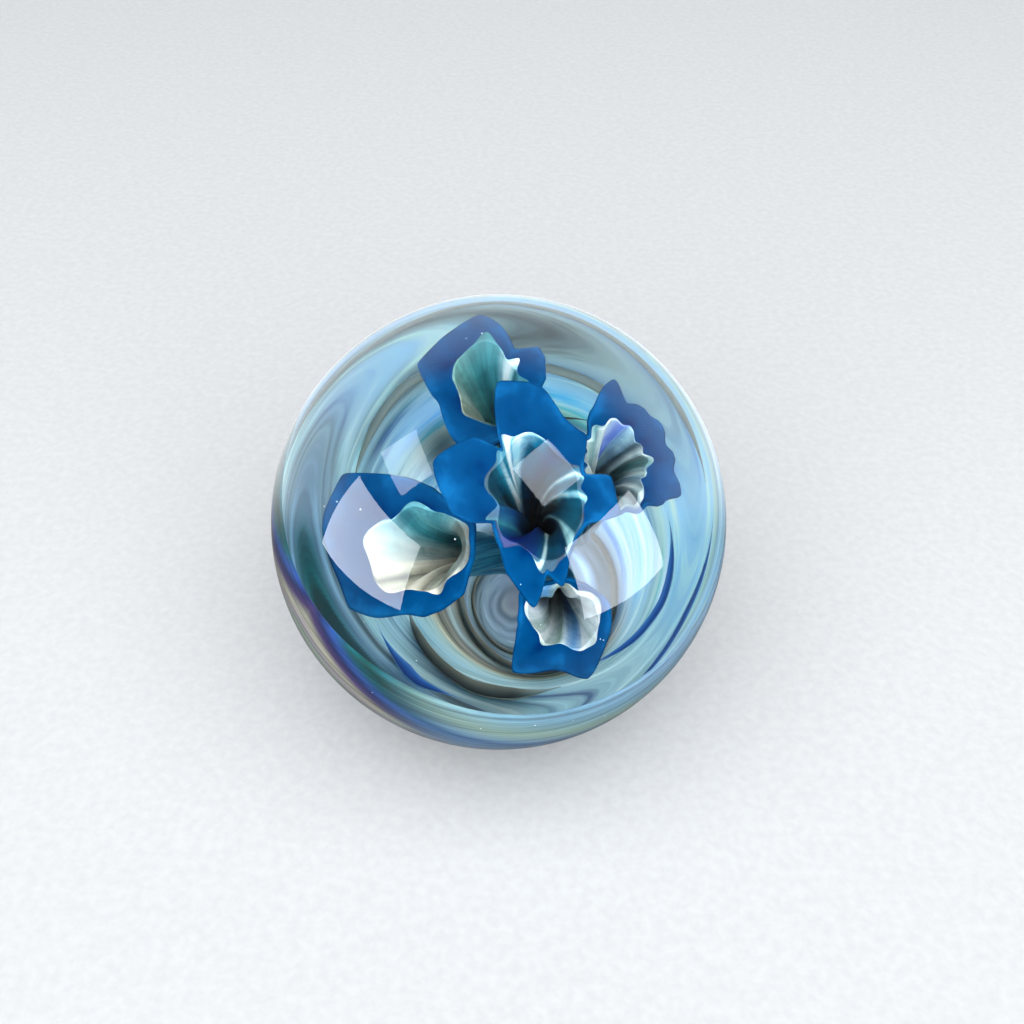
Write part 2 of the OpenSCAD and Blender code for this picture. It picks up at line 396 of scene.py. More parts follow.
@dataclass(frozen=True)
class LipGlass:
    """Dense opaque blue laid on the mouth and pulled into a frill: even, a little darker where it is thick,
    with painted shade towards the throat.

    Attributes:
        deep: colour where it is thickest, next to the throat, with painted shade there.
        even: colour of most of it.
        pale: colour where it is pulled thin.
        edge: colour at the thinnest.
    """

    deep: str = "#001a44"
    even: str = "#002c55"
    pale: str = "#02355f"
    edge: str = "#084a7a"

    def make(self) -> Material:
        """Builds the material.

        Returns:
            The lip's blue glass.
        """
        material, tree, shader = opened("dense opaque blue, pulled into a frill")
        place = add(tree, "TexCoord", {}, {}, "Object")
        out = add(tree, "SeparateXYZ", {}, (add(tree, "UVMap", {"uv_map": "run"}, {}),), "Y")
        # Patches where the layer was gathered a little thicker
        gather = add(tree, "TexNoise", {}, {"Vector": place, "Scale": per_mm(0.42), "Detail": 3.0})
        # Darker towards the throat and paler towards the thin edge: partly the glass's thickness, partly
        # painted shade where lip and throat meet
        level = add(tree, "Math", TIMES_PLUS, (out, 0.35, gather))
        stops = ((0.3, self.deep), (0.52, self.even), (0.78, self.pale), (1.0, self.edge))
        tone = add(tree, "ValToRGB", {"stops": stops}, (level,))
        # Drag lines a fifth of a millimetre apart run out to the edge
        flow = add(tree, "Attribute", {"attribute_name": "flow"}, {}, "Vector")
        drawn = add(tree, "VectorMath", TIMES, (flow, (28.0, 28.0, 6.0)))
        fine = add(tree, "TexNoise", {}, {"Vector": drawn, "Scale": 1.0, "Detail": 2.0})
        bump = add(tree, "Bump", {}, {"Height": fine, "Strength": 0.08, "Distance": 0.0001})
        # Glass sealed in glass has next to no shine of its own
        join(shader, {"Base Color": tone, "Normal": bump, "Roughness": 0.55, "Specular IOR Level": 0.0})
        return material


@dataclass(frozen=True)
class PearlGlass:
    """Pearly glass with pulled streaks that wind down a throat.

    Attributes:
        name: whose throat it is.
        streaks: colours once round the mouth.
        deep: painted shade at the foot, where little light reaches.
        wind: turns that the streaks make from mouth to foot.
        sway: how far a streak wanders, in turns.
        depth: share of the throat's length that painted shade darkens.
        light: how much of its light the glass gives back.
        milk: how strongly the milky clouds show.
        shell: colours of the throat's outside, from its darkest.
    """

    name: str
    streaks: Stops
    deep: str
    wind: float
    sway: float
    depth: float
    light: float = 0.6
    milk: float = 0.5
    shell: Stops = ((0.3, "#062c4c"), (0.5, "#12506a"), (0.72, "#3d8494"))

    def make(self) -> Material:
        """Builds the material.

        Returns:
            The throat's glass, pearly inside and dense blue outside.
        """
        material, tree, shader = opened("pearly glass in pulled streaks, " + self.name)
        around = add(tree, "SeparateXYZ", {}, (add(tree, "UVMap", {"uv_map": "run"}, {}),))
        along = around.node.outputs["Y"]
        flow = add(tree, "Attribute", {"attribute_name": "flow"}, {}, "Vector")
        wander = add(tree, "TexNoise", {}, {"Vector": flow, "Scale": 1.6, "Detail": 2.0})
        start = add(tree, "Math", {}, (around, 1 - self.wind - self.sway / 2))
        bent = add(tree, "Math", TIMES_PLUS, (wander, self.sway, start))
        wound = add(tree, "Math", TIMES_PLUS, (along, self.wind, bent))
        phase = add(tree, "Math", {"operation": "FRACT"}, (wound,))
        streak = add(tree, "ValToRGB", {"stops": self.streaks}, (phase,))
        # Hair-fine canes a few tenths of a millimetre wide lie along every streak
        cane = add(tree, "TexNoise", {}, {"Vector": flow, "Scale": 9.0, "Detail": 4.0, "Roughness": 0.6})
        stops = ((0.3, "#7f8c96"), (0.5, "#bcc3c6"), (0.72, "#ffffff"))
        hair = add(tree, "ValToRGB", {"stops": stops}, (cane,))
        tone = add(tree, "Mix", OVERLAY, (0.35, streak, hair))
        # Milky clouds, where the pearl was folded over on itself
        place = add(tree, "TexCoord", {}, {}, "Object")
        fold = {"Vector": place, "Scale": per_mm(0.48), "Detail": 4.0, "Roughness": 0.6, "Distortion": 0.8}
        stops = ((0.36, "#6c8490"), (0.5, "#b8c2c6"), (0.66, "#e2e8e8"))
        cloud = add(tree, "ValToRGB", {"stops": stops}, {"Fac": add(tree, "TexNoise", {}, fold)})
        tone = add(tree, "Mix", OVERLAY, (self.milk, tone, cloud))
        # Painted shade: the throat darkens towards its foot, where little light reaches
        painted_foot_shade = add(tree, "MapRange", SMOOTH, (along, self.depth - 0.3, self.depth + 0.2, 1.0, 0.0))
        light = (self.light, self.light, self.light, 1)
        worn = add(tree, "Mix", MULTIPLY, (1.0, tone, light))
        whole = add(tree, "Mix", BLEND, (painted_foot_shade, worn, linear(self.deep)))
        # Outside, the throat keeps the dense blue that the pearl was laid over
        shell = add(tree, "ValToRGB", {"stops": self.shell}, (cane,))
        back = add(tree, "Attribute", {"attribute_name": "back"}, {}, "Fac")
        whole = add(tree, "Mix", BLEND, (back, whole, shell))
        bump = add(tree, "Bump", {}, {"Height": cane, "Strength": 0.22, "Distance": 0.0002})
        join(shader, {"Base Color": whole, "Normal": bump, "Roughness": 0.4, "Specular IOR Level": 0.3})
        return material


@dataclass(frozen=True)
class ThreadGlass:
    """A thread of coloured cane, pulled thin in the flame: soft on the side of the eye, dense on the other.

    Attributes:
        name: what the cane is and how it was worked.
        fringe: colour at the edge nearer the swirl's eye.
        worn: colour next to it, where the cane is thin.
        middle: colour of the dense part.
        deep: colour at the outer edge.
        end: colour that both ends thin out to.
    """

    name: str
    fringe: str
    worn: str
    middle: str
    deep: str
    end: str

    def make(self) -> Material:
        """Builds the material.

        Returns:
            The thread's glass.
        """
        material, tree, shader = opened(self.name)
        place = add(tree, "TexCoord", {}, {}, "Object")
        # Patches where the cane was pulled a little thinner
        patch = add(tree, "TexNoise", {}, {"Vector": place, "Scale": per_mm(0.26), "Detail": 3.0})
        turn = add(tree, "SeparateXYZ", {}, (add(tree, "UVMap", {"uv_map": "run"}, {}),))
        # The half of the section that faces the middle of the ball, from the inner edge to the outer one
        across = add(tree, "MapRange", {}, (turn, 0.5, 1.0, -0.25, 0.75))
        level = add(tree, "Math", TIMES_PLUS, (patch, 0.5, across))
        stops = ((0.08, self.fringe), (0.36, self.worn), (0.7, self.middle), (1.0, self.deep))
        tone = add(tree, "ValToRGB", {"stops": stops}, (level,))
        # Both ends thin out into the layer that they lie on, and a weak thread does so all along
        middle = add(tree, "Math", {"operation": "SUBTRACT"}, (turn.node.outputs["Y"], 0.5))
        reach = add(tree, "Math", {"operation": "ABSOLUTE"}, (middle,))
        thin = add(tree, "MapRange", SMOOTH, (reach, 0.28, 0.5, 0.0, 0.85))
        dense = add(tree, "Attribute", {"attribute_name": "dense"}, {}, "Fac")
        weak = add(tree, "Math", {"operation": "SUBTRACT"}, (1.0, dense))
        faint = add(tree, "Math", LARGER, (thin, weak))
        tone = add(tree, "Mix", BLEND, (faint, tone, linear(self.end)))
        join(shader, {"Base Color": tone, "Roughness": 0.6, "Specular IOR Level": 0.1})
        return material


SWIRL_REACH = 40.0


def loops(*colours: tuple[float, str]) -> Stops:
    """Turns (half angle of a loop, colour) pairs into stops along the swirl's radius."""
    return tuple((angle / SWIRL_REACH, colour) for angle, colour in colours)


# Colours along the swirl's radius, on the side that lies low and on the side that lies high
LOW_SIDE = loops(
    (0.0, "#6a6b70"), (1.6, "#7d817d"), (2.4, "#4e5860"), (3.3, "#7f8a8e"), (4.0, "#5d6a70"),
    (4.6, "#7b878e"), (6.0, "#6f7f80"), (7.1, "#3f4b4f"), (7.9, "#8f9b93"), (9.2, "#8799a2"),
    (10.2, "#74898b"), (11.0, "#2f3738"), (11.8, "#8f8a78"), (12.6, "#a3ada4"), (13.4, "#57554b"),
    (14.4, "#787162"), (15.2, "#ab9f82"), (16.4, "#a3b3a6"), (18.6, "#9bb6b6"), (20.2, "#9bb3ae"),
    (21.8, "#97b0af"), (23.2, "#8aa4a5"), (24.6, "#8ea9a6"), (25.8, "#a5b9b2"), (26.8, "#74888c"),
    (27.7, "#5f7a84"), (28.2, "#0a5a58"), (29.2, "#044b49"), (30.2, "#8fb0b2"), (33.0, "#9cc4dc"),
    (37.0, "#7fa6ba"), (39.0, "#a9cbd6"),
)
HIGH_SIDE = loops(
    (0.0, "#6a6b70"), (2.4, "#5c656a"), (4.6, "#7b8890"), (7.1, "#56656a"), (9.2, "#8a9dac"),
    (11.0, "#4c5b60"), (12.4, "#9ab0bc"), (15.0, "#9dbdd2"), (17.6, "#a3c6d9"), (19.4, "#8fa9a8"),
    (20.2, "#b5cabb"), (21.4, "#9cc6e2"), (22.7, "#94b4c4"), (23.2, "#92adb6"), (23.7, "#a2b8b2"),
    (24.1, "#84958f"), (24.6, "#5c6e6b"), (25.1, "#8fa9a4"), (25.6, "#97bed6"), (26.4, "#90b6d2"),
    (27.2, "#8ba7b6"), (28.4, "#92b8d2"), (31.0, "#96b4c8"), (36.0, "#8c9fab"), (39.0, "#9aaebb"),
)
# Colours across the lines that climb the outside to the rim, once round, where they are bold
BOLD_BANDS: Stops = (
    (0.0, "#9fc6d8"), (0.06, "#5f8fa6"), (0.1, "#a9c7bd"), (0.15, "#b7a9bf"), (0.2, "#c7b9c3"),
    (0.235, "#a9c4a3"), (0.265, "#c6b8bd"), (0.295, "#d0cfae"), (0.32, "#58407a"), (0.338, "#182a66"),
    (0.356, "#2f62b2"), (0.375, "#0f666c"), (0.395, "#0a4f4a"), (0.415, "#1f6a72"), (0.44, "#174f58"),
    (0.47, "#2f6f78"), (0.49, "#8fb9ae"), (0.515, "#5d8f96"), (0.55, "#8fb6c4"), (0.6, "#4f6f78"),
    (0.63, "#a7c8c6"), (0.68, "#79a9d6"), (0.71, "#3f6fb0"), (0.73, "#b8cdb4"), (0.8, "#9cc6dc"),
    (0.86, "#6f99a8"), (0.9, "#b3cfd0"), (0.95, "#86b4d8"),
)
# Colours across the same lines on the side where the swirl comes out pale
PALE_BANDS: Stops = (
    (0.0, "#9fc4da"), (0.08, "#86afca"), (0.13, "#b3cdb9"), (0.2, "#8db9d3"), (0.3, "#a3c6dc"),
    (0.35, "#79a6c4"), (0.37, "#4f7fae"), (0.385, "#8fb8d0"), (0.42, "#b1cdb6"), (0.47, "#8fbcc9"),
    (0.55, "#9cc3dc"), (0.62, "#7ba7bd"), (0.66, "#a9cabb"), (0.74, "#8db8d6"), (0.82, "#a7c9da"),
    (0.88, "#7fa8b6"), (0.93, "#b3cfc4"), (1.0, "#9fc4da"),
)
# Dark and cream hairlines on a grey that changes nothing
SEAMS: Stops = (
    (0.0, "#bcbcbc"), (0.395, "#bcbcbc"), (0.41, "#6b6f66"), (0.425, "#bcbcbc"), (0.455, "#bcbcbc"),
    (0.47, "#3f4846"), (0.478, "#e8e2cc"), (0.495, "#bcbcbc"), (0.54, "#bcbcbc"), (0.553, "#4c5a64"),
    (0.566, "#d8e2e0"), (0.58, "#bcbcbc"), (0.62, "#bcbcbc"), (0.63, "#5a6a60"), (0.645, "#bcbcbc"),
)


@dataclass(frozen=True)
class SwirlGlass:
    """Opaque layers pulled round and round: soft bands with fumed fringes and fine lines along the pull.

    Attributes:
        wander: how far a band wanders as it goes round, in degrees.
        high: direction of the high side in the flower's frame.
        right: direction of the side where the outside's bands come out pale.
        deep_painted_light: painted light that brightens the inner face, which lies deep in the glass and
            looks darker than it is.
        rim_painted_light: painted light on the inner face near the rim.
        outer_painted_light: painted light that darkens the outer face, which catches the room.
        smoke: colour beside the dark threads.
    """

    wander: float = 1.2
    high: tuple[float, float, float] = (0.5, 0.87, 0.0)
    right: tuple[float, float, float] = (0.77, -0.64, 0.0)
    deep_painted_light: Colour = (1.15, 1.3, 1.48, 1)
    rim_painted_light: Colour = (0.95, 0.97, 1.0, 1)
    outer_painted_light: Colour = (0.5, 0.5, 0.54, 1)
    smoke: str = "#31403f"

    def make(self) -> Material:
        """Builds the material.

        Returns:
            The backing's glass.
        """
        material, tree, shader = opened("opaque glass, layered and pulled into a swirl")
        wanted = (("loop", "Fac"), ("outside", "Fac"), ("shade", "Fac"))
        wanted += (("flow", "Vector"), ("line", "Vector"), ("climb", "Vector"))
        loop, outside, shade, flow, line, climb = [
            add(tree, "Attribute", {"attribute_name": name}, {}, out) for name, out in wanted
        ]
        # The bands wander as they go round
        drift = add(tree, "TexNoise", {}, {"Vector": flow, "Scale": 0.9, "Detail": 2.0})
        shifted = add(tree, "Math", TIMES_PLUS, (drift, self.wander, loop))
        zero = self.wander / 2
        share = add(tree, "MapRange", {}, (shifted, zero, zero + SWIRL_REACH))
        low, high = [add(tree, "ValToRGB", {"stops": stops}, (share,)) for stops in (LOW_SIDE, HIGH_SIDE)]
        height = add(tree, "VectorMath", DOT, (flow, self.high))
        side = add(tree, "MapRange", SMOOTH, (height, -0.35, 0.45))
        inner = add(tree, "Mix", BLEND, (side, low, high))
        # Outside, the lines climb to the rim
        spin = add(tree, "SeparateXYZ", {}, (climb,))
        angle = add(tree, "Math", {"operation": "ARCTAN2"}, (spin.node.outputs["Y"], spin))
        turns = add(tree, "Math", {"operation": "DIVIDE"}, (angle, 2 * math.pi))
        phase = add(tree, "Math", {"operation": "FRACT"}, (turns,))
        both = (BOLD_BANDS, PALE_BANDS)
        bold, pale = [add(tree, "ValToRGB", {"stops": stops}, (phase,)) for stops in both]
        right = add(tree, "VectorMath", DOT, (flow, self.right))
        fade = add(tree, "MapRange", SMOOTH, (right, 0.2, 0.75))
        outer = add(tree, "Mix", BLEND, (fade, bold, pale))
        reach = add(tree, "MapRange", SMOOTH, (loop, 38.0, 62.0))
        bands = add(tree, "Mix", BLEND, (reach, inner, outer))
        # Painted light: the inner face is painted brighter and bluer where it lies deep in the glass, and the
        # outer face darker, as it catches the room
        depth = add(tree, "Mix", BLEND, (reach, self.deep_painted_light, self.rim_painted_light))
        painted_light = add(tree, "Mix", BLEND, (outside, depth, self.outer_painted_light))
        lit = add(tree, "Mix", MULTIPLY, (1.0, bands, painted_light))
        # Fine lines along the pull, three to the millimetre, that die away at the eye
        fine = add(tree, "TexNoise", {}, {"Vector": line, "Scale": 1.0, "Detail": 4.0, "Roughness": 0.55})
        stops = ((0.34, "#3d4a4d"), (0.47, "#b4babb"), (0.56, "#bfc3c4"), (0.68, "#ffffff"))
        grain = add(tree, "ValToRGB", {"stops": stops}, (fine,))
        strong = add(tree, "MapRange", {}, (outside, 0.0, 1.0, 0.8, 0.5))
        calm = add(tree, "MapRange", SMOOTH, (loop, 1.0, 9.0))
        grained = add(tree, "Math", TIMES, (strong, calm))
        lined = add(tree, "Mix", OVERLAY, (grained, lit, grain))
        # Pulled seams a millimetre or two apart run with the loops, most of them low on the left
        long = add(tree, "VectorMath", TIMES, (line, (0.35, 0.35, 1.0)))
        seam = add(tree, "TexNoise", {}, {"Vector": long, "Scale": 0.34, "Detail": 1.0})
        cut = add(tree, "ValToRGB", {"stops": SEAMS}, (seam,))
        plain = add(tree, "Math", LARGER, (fade, side))
        sewn = add(tree, "MapRange", {}, (plain, 0.0, 1.0, 0.4, 0.08))
        joined = add(tree, "Math", TIMES, (calm, sewn))
        seamed = add(tree, "Mix", OVERLAY, (joined, lined, cut))
        smoky = add(tree, "Mix", BLEND, (shade, seamed, linear(self.smoke)))
        bump = add(tree, "Bump", {}, {"Height": fine, "Strength": 0.1, "Distance": 0.0001})
        join(shader, {"Base Color": smoky, "Normal": bump, "Roughness": 0.5, "Specular IOR Level": 0.15})
        # Light sinks a few millimetres into the layers and softens their edges
        join(shader, {"Subsurface Weight": 0.85, "Subsurface Scale": 0.003})
        join(shader, {"Subsurface Radius": (0.8, 1.0, 1.2)})
        return material


# Half angle of a loop, and how far its middle lies right and up of the backing's pole, in degrees
DRIFT = np.array(
    [
        [0, 0, 0], [7, 1.1, 0.2], [11, 2.9, 2], [14.5, 1.8, 4.9], [21, 0.2, 10.4],
        [28, -0.7, 14.6], [40, -2, 13.5], [60, -4, 7], [80, -7, -2], [107, -9.2, -9.2],
    ]
)


def loop_middle(loop: Array) -> Array:
    """Middle of the swirl's loop of this half angle, in degrees right and up of the backing's pole."""
    return np.stack([np.interp(loop, DRIFT[:, 0], DRIFT[:, k]) for k in (1, 2)], -1)


def loop_of(place: Array, widest: float = 150.0, halvings: int = 30) -> Array:
    """Finds which loop runs through each place, by halving the range that it lies in.

    Args:
        place: degrees right and up of the backing's pole, on the last axis.
        widest: half angle that no loop goes beyond, in degrees.
        halvings: how often the range is halved.

    Returns:
        The half angle of that loop, in degrees.
    """
    low, high = np.zeros(place.shape[:-1]), np.full(place.shape[:-1], widest)
    for _ in range(halvings):
        middle = (low + high) / 2
        outside = np.linalg.norm(place - loop_middle(middle), axis=-1) > middle
        low, high = np.where(outside, middle, low), np.where(outside, high, middle)
    return (low + high) / 2


def on_sphere(place: Array) -> Array:
    """Direction, in the flower's frame, of a place given in degrees right and up of the backing's pole."""
    polar, azimuth = np.linalg.norm(place, axis=-1), np.degrees(np.arctan2(place[..., 1], place[..., 0]))
    return spun(azimuth, sind(polar), -cosd(polar))


@dataclass
class ClearBall:
    """The clear ball, round to a few hundredths of a millimetre as a shaping block leaves it.

    Attributes:
        radius: the solid ball's radius, in mm.
        rounds: how often the mesh's sides are halved.
        unevenness: mean depth of the block's slow waves, in mm.
        waves: how fast each wave runs along x, y and z, and its phase.
    """

    radius: float
    rounds: int = 6
    unevenness: float = 0.008
    waves: tuple[tuple[tuple[float, ...], float], ...] = (((2.1, 3.4, 1.2), 0.7), ((-3.0, 1.3, 2.6), 0.0))

    def build(self) -> None:
        """Builds the ball from an icosahedron whose sides are halved again and again."""
        gold, side = (1 + math.sqrt(5)) / 2, 2.0
        corners = [(x, y * gold, 0) for x in (-1, 1) for y in (-1, 1)]
        points = np.array([p for x, y, z in corners for p in ((x, y, z), (z, x, y), (y, z, x))], float)
        gaps = np.linalg.norm(points[:, None] - points[None], axis=-1)
        near = gaps < 1.05 * side
        tri = np.array([three for three in combinations(range(12), 3) if near[np.ix_(three, three)].all()])
        wrong = outward(points, tri) < 0
        tri[wrong] = tri[wrong][:, ::-1]
        for _ in range(self.rounds):
            sides = np.sort(np.concatenate([tri[:, [0, 1]], tri[:, [1, 2]], tri[:, [2, 0]]]), 1)
            only, back = np.unique(sides, axis=0, return_inverse=True)
            middle = (back.reshape(3, -1) + len(points)).T
            points = np.concatenate([points, points[only].mean(1)])
            points /= np.linalg.norm(points, axis=1)[:, None]
            a, b, c = tri.T
            d, e, f = middle.T
            tri = np.concatenate([np.stack(t, 1) for t in ((a, d, f), (b, e, d), (c, f, e), (d, e, f))])
        wave = sum(np.sin(points @ pace + phase) for pace, phase in self.waves)
        points *= (self.radius - self.unevenness * (1 + wave / 2))[:, None] * MM
        mesh = bpy.data.meshes.new("clear_ball")
        mesh.from_pydata(points.tolist(), [], tri.tolist())
        placed(stood("clear_ball", mesh, ClearGlass().make()), Slot.CLEAR, "clear_body")


@dataclass(frozen=True)
class ThreadPath:
    """A pulled thread.

    Attributes:
        share: its share of the widest width.
        path: points on it as (angle round, loop's half angle).
        density: how strong its colour stands, from 0 to 1.
        tip: share of its width that is left at both ends.
        taper: how far from its ends it starts to thin out, in degrees.
    """

    share: float
    path: tuple[tuple[float, float], ...]
    density: float = 1.0
    tip: float = 0.04
    taper: float = 25.0

    def line(self, count: int) -> tuple[Array, Array, Array]:
        """Places along the thread, with its corners softened.

        Args:
            count: how many.

        Returns:
            Degrees right and up of the backing's pole, the direction of each, and the half width in mm.
        """
        turn, loop = np.array(self.path).T
        angle = np.linspace(turn[0], turn[-1], count)
        beside = 20  # places to each side that a corner is softened over
        soft = np.exp(-(np.linspace(-2, 2, 2 * beside + 1) ** 2))
        radius = np.pad(np.interp(angle, turn, loop), beside, mode="edge")
        radius = np.convolve(radius, soft / soft.sum(), "valid")
        place = loop_middle(radius) + radius[:, None] * np.stack([cosd(angle), sind(angle)], -1)
        left = np.minimum(angle - turn[0], turn[-1] - angle)
        thinned = self.tip + (1 - self.tip) * smoothstep(0, self.taper, left)
        return place, on_sphere(place), THREAD_W / 2 * self.share * thinned


DARK_PATHS = (
    ThreadPath(0.4, ((100, 7.1), (175, 7.7), (220, 6.8), (256, 7.9), (430, 7.6))),
    ThreadPath(0.7, ((140, 11), (240, 10.8), (282, 13), (330, 13), (470, 11.4))),
    ThreadPath(0.4, ((56, 20.9), (75, 19.8), (100, 19.2))),
    ThreadPath(0.6, ((16, 22.6), (60, 23.2), (100, 23.6), (132, 25.2), (175, 24.8)), 0.4),
    ThreadPath(0.9, ((210, 19), (240, 22.4), (258, 24.3), (272, 24), (288, 23))),
)
BLUE_PATHS = (
    ThreadPath(0.8, ((222, 25.6), (234, 26.8), (245, 27.8), (258, 27.2))),
    ThreadPath(0.3, ((-64, 20.4), (-41, 21.7), (-24, 22), (10, 21.6))),
)


@dataclass
class PulledThreads:
    """Threads of one colour, laid on the backing's inner face.

    Attributes:
        name: the piece's name.
        node: the solid that it stands for.
        slot: its finish in the record.
        paths: the threads.
        finish: what they are made of.
        count: places along each.
        around: points round each.
        full: half thickness for each mm of half width, where a thread is thin.
    """

    name: str
    node: str
    slot: Slot
    paths: tuple[ThreadPath, ...]
    finish: ThreadGlass
    count: int = 260
    around: int = 12
    full: float = 1.2

    def build(self) -> None:
        """Builds every thread as a rounded ribbon drawn out to points."""
        strips = []
        turn = np.arange(self.around) * 360 / self.around
        for path in self.paths:
            _, out, half = path.line(self.count)
            across = np.cross(out, np.gradient(out, axis=0))
            across /= np.linalg.norm(across, axis=1)[:, None]
            thick = np.minimum(THREAD_T / 2, half * self.full)
            up = THREAD_TOP - THREAD_T / 2 + thick[:, None] * sind(turn)
            ring = out[:, None] * up[..., None] + across[:, None] * (half[:, None] * cosd(turn))[..., None]
            values = {"dense": np.full(ring.shape[:2], path.density)}
            strips.append(Strip(faced(ring), np.linspace(0, 1, self.count), values, True, True))
        placed(strip_mesh(self.name, strips, self.finish.make()), self.slot, self.node)


@dataclass
class SwirlBacking:
    """The cupped backing: a cap of layered colour whose rim leans and wanders a little.

    Angles are in degrees.

    Attributes:
        span: half angle of the cap.
        lean: how far its pole leans off the flower's axis.
        side: azimuth of that lean.
        wander: waves of the rim as (height, how many, phase).
        rounding: how far the rim is rounded.
        start: angle of the first row off the pole.
        eye: angle where the close rows round the eye end.
        rows: rows round the eye, out to the rim, round it and on the outer face.
        columns: points round it.
        climb: turn of the outside's lines for each degree that they climb.
        bend: bend of these lines as (azimuth of its end, reach, most, fade).
        smoke: smoke beside a thread as (strength, reach, reach for each mm of half width).
        moss: mossy patch as (loop, half width, angle round, half length, strength).
    """

    span: float = 107.0
    lean: float = 13.0
    side: float = 225.0
    wander: tuple[tuple[float, float, float], ...] = ((0.8, 2, 40), (0.5, 5, 0))
    rounding: float = 1.5
    start: float = 0.15
    eye: float = 45.0
    rows: tuple[int, int, int, int] = (110, 50, 7, 80)
    columns: int = 320
    climb: float = 2.2
    bend: tuple[float, float, float, float] = (215.0, 220.0, 90.0, 60.0)
    smoke: tuple[float, float, float] = (0.6, 0.5, 3.5)
    moss: tuple[float, float, float, float, float] = (19.2, 2.4, 131.0, 16.0, 0.9)

    def directions(self, polar: Array, azimuth: Array) -> Array:
        """Directions in the flower's frame, from the angle off the cap's own pole and round it."""
        return turned(turned(spun(azimuth, sind(polar), -cosd(polar)), 1, -self.lean), 2, self.side)

    def outer_lines(self, polar: Array, azimuth: Array) -> Array:
        """Follows the lines that climb the outside to the rim.

        Args:
            polar: degrees off the flower's own pole.
            azimuth: degrees round it.

        Returns:
            Each point's place across the lines, as a direction, so that it has no seam.
        """
        end, reach, most, soft = self.bend
        left = (end - azimuth) % 360
        bend = np.minimum(self.climb * left, most) * smoothstep(0, soft, reach - left)
        return spun(azimuth + self.climb * polar + bend, 1.0, 0.0)

    def smoky(self, place: Array, loop: Array, turn: Array) -> Array:
        """Works out where the glass is smoky: beside the dark threads and in one mossy patch.

        Args:
            place: degrees right and up of the backing's pole.
            loop: half angle of the loop through each place.
            turn: angle round that loop, in degrees.

        Returns:
            How smoky each place is, from 0 to 1.
        """
        strength, reach, more = self.smoke
        shade = np.zeros(loop.shape)
        for path in DARK_PATHS:
            spots, _, half = path.line(120)
            for spot, width in zip(spots, half):
                away = np.linalg.norm(place - spot, axis=-1) / (reach + more * width)
                most = strength * path.share * path.density * width / half.max()
                shade = np.maximum(shade, most * np.exp(-(away**2)))
        middle, wide, angle, long, strong = self.moss
        moss = np.exp(-(((loop - middle) / wide) ** 2) - ((turn - angle) / long) ** 2)
        return np.maximum(shade, strong * moss)

    def values(self, out: Array) -> dict[str, Array]:
        """Works out what the finish needs at each point.

        Args:
            out: directions in the flower's frame.

        Returns:
            The loop, the flow round it, the line grain, the climb towards the rim and the smoky shade.
        """
        polar = np.degrees(np.arctan2(np.hypot(out[..., 0], out[..., 1]), -out[..., 2]))
        azimuth = np.degrees(np.arctan2(out[..., 1], out[..., 0])) % 360
        place = np.stack([polar * cosd(azimuth), polar * sind(azimuth)], -1)
        loop = loop_of(place)
        arm = place - loop_middle(loop)
        arm /= np.maximum(np.linalg.norm(arm, axis=-1), 1e-6)[..., None]
        # At the eye the arms die away, where they would all meet in a point
        arm *= smoothstep(0, 4, loop)[..., None]
        turn = np.degrees(np.arctan2(arm[..., 1], arm[..., 0]))
        return {
            "loop": loop,
            "flow": np.concatenate([arm, 0.05 * loop[..., None]], -1),
            "line": np.concatenate([0.7 * arm, 1.15 * loop[..., None]], -1),
            "climb": self.outer_lines(polar, azimuth),
            "shade": self.smoky(place, loop, turn),
        }

    def build(self) -> None:
        """Builds the inner face, the rounded rim and the outer face."""
        close, wide, round_rim, outside = self.rows
        azimuth = np.arange(self.columns) * 360 / self.columns
        last = self.span - self.rounding
        inner = np.append(np.linspace(self.start, self.eye, close), np.linspace(self.eye + 1.2, last, wide))
        outer = np.linspace(last, self.start, outside)
        turn = np.linspace(0, 180, round_rim + 2)[1:-1]
        share = np.concatenate([inner, np.full(round_rim, last), outer]) / self.span
        wall = np.concatenate([np.zeros(len(inner)), (1 - cosd(turn)) / 2, np.ones(outside)])[:, None]
        bulge = np.concatenate([np.zeros(len(inner)), self.rounding * sind(turn), np.zeros(outside)])
        polar = share[:, None] * (self.span + ripple(azimuth, *self.wander)) + bulge[:, None]
        out = self.directions(polar, np.broadcast_to(azimuth, polar.shape))
        values = self.values(out) | {"outside": np.broadcast_to(wall, polar.shape)}
        radius = BACKING_IN + (BACKING_OUT - BACKING_IN) * wall
        strip = Strip(faced(out * radius[..., None]), share, values, True, True)
        placed(strip_mesh("swirl_layers", [strip], SwirlGlass().make()), Slot.SWIRL, "swirl_backing")


Frill = tuple[tuple[float, float, float], ...]


